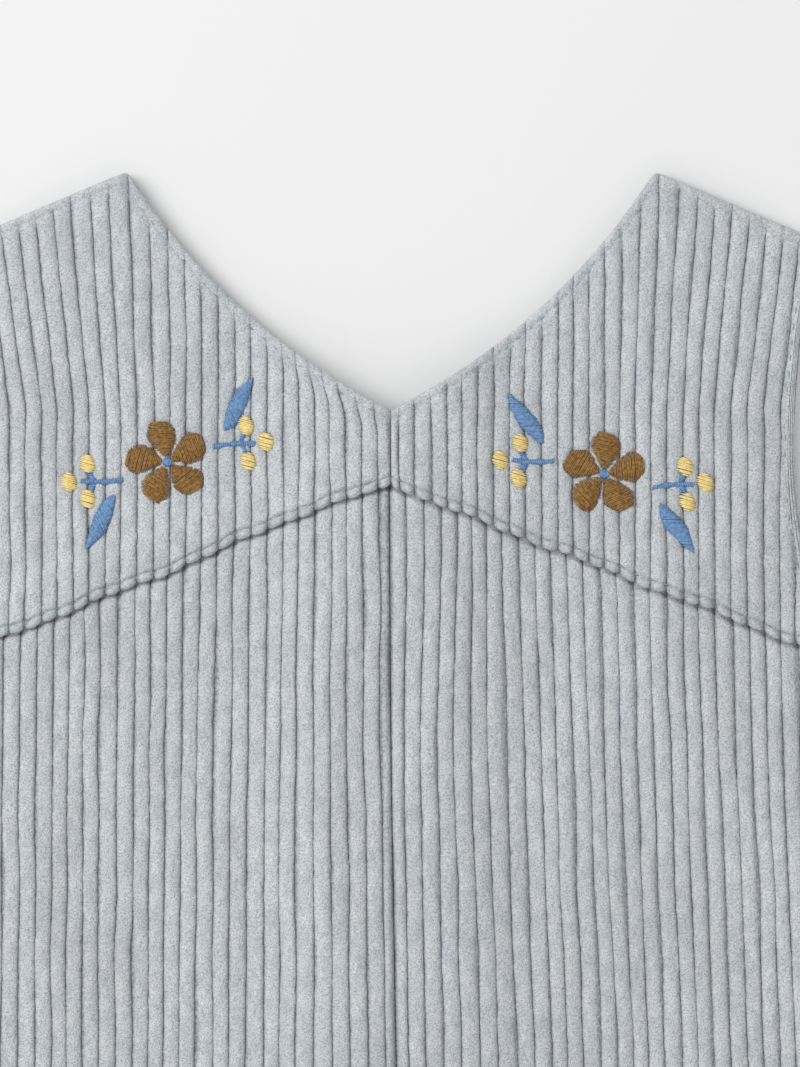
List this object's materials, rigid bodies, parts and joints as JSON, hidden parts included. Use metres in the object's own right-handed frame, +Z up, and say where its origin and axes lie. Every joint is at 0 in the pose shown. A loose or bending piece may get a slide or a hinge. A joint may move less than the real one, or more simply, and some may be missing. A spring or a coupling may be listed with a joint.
{
  "type": "child's sleeveless corduroy overalls, laid flat",
  "caption": "Child's sleeveless corduroy overalls laid flat on their back, with a V neck, a chevron-seamed front yoke with embroidered flowers, straight legs and a buttoned back opening.",
  "frame": {"origin": "on the surface the garment lies on, under the middle of its length and width", "axes": "+X towards the wearer's left side, +Y from the hems towards the neck, +Z up out of the front"},
  "size_m": [0.3006, 0.64, 0.0126],
  "materials": {
    "corduroy": "pale grey-blue wide-wale cotton corduroy with a soft matt pile",
    "seam_thread": "matt polyester topstitching thread, a little greener than the cloth",
    "ochre_thread": "satin-stitched rayon embroidery thread with a soft sheen",
    "blue_thread": "satin-stitched rayon embroidery thread with a soft sheen",
    "yellow_thread": "satin-stitched rayon embroidery thread with a soft sheen",
    "button": "polished pale grey polyester resin"
  },
  "bodies": {
    "root": {"front_yoke_left": "corduroy", "front_yoke_right": "corduroy", "front_left": "corduroy", "front_right": "corduroy", "back_left": "corduroy", "back_right": "corduroy", "back_button_upper": "button", "back_button_middle": "button", "back_button_lower": "button"}
  },
  "joints": []
}
